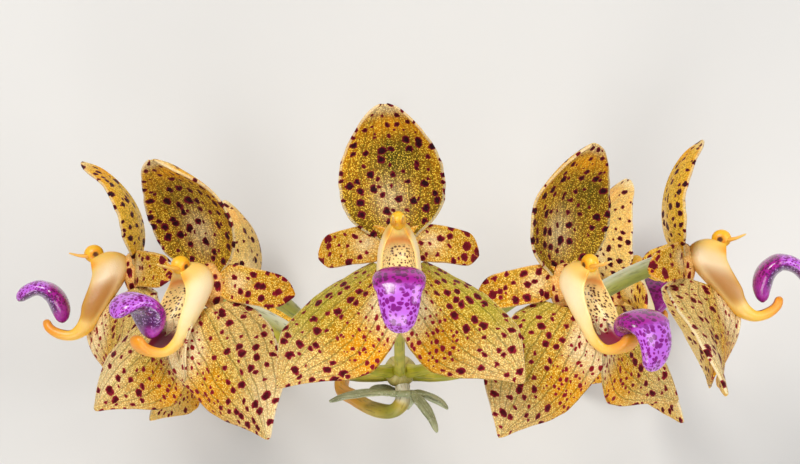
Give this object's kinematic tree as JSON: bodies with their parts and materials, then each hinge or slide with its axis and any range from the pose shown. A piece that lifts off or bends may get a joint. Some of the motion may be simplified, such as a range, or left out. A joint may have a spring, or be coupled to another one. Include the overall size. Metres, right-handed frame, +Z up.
{
  "type": "spotted bulbophyllum orchid flower head",
  "caption": "Cut umbel of spotted yellow orchid blooms with curled magenta lips, on slender flower stalks that meet at one knob, lying on its side on a bent stalk.",
  "frame": {"origin": "middle of the underside of the part's box, on the surface that the flower head lies on", "axes": "+Z up, the way the front bloom faces; +Y towards the top of the umbel, the way the upper sepals point; +X to the right as the front bloom is looked at"},
  "size_m": [0.0592, 0.024, 0.0539],
  "materials": {
    "sepal": "fleshy petal, golden yellow with dark red spots and a fine sparkling grain",
    "column": "waxy, cream and yellow with tiny dark dots",
    "lip": "glossy magenta with darker spots",
    "flower_stalk": "smooth yellow-green with a pale upper side",
    "main_stalk": "smooth, green shading to orange-yellow",
    "bract": "thin, dry and pale"
  },
  "bodies": {
    "root": {"bloom_1_sepals_and_petals": "sepal", "bloom_1_column": "column", "bloom_1_lip": "lip", "bloom_1_stalk": "flower_stalk", "bloom_2_sepals_and_petals": "sepal", "bloom_2_column": "column", "bloom_2_lip": "lip", "bloom_2_stalk": "flower_stalk", "bloom_3_sepals_and_petals": "sepal", "bloom_3_column": "column", "bloom_3_lip": "lip", "bloom_3_stalk": "flower_stalk", "bloom_4_sepals_and_petals": "sepal", "bloom_4_column": "column", "bloom_4_lip": "lip", "bloom_4_stalk": "flower_stalk", "bloom_5_sepals_and_petals": "sepal", "bloom_5_column": "column", "bloom_5_lip": "lip", "bloom_5_stalk": "flower_stalk", "bloom_6_sepals_and_petals": "sepal", "bloom_6_column": "column", "bloom_6_lip": "lip", "bloom_6_stalk": "flower_stalk", "bloom_7_sepals_and_petals": "sepal", "bloom_7_column": "column", "bloom_7_lip": "lip", "bloom_7_stalk": "flower_stalk", "main_stalk": "main_stalk", "bracts": "bract"}
  },
  "joints": []
}
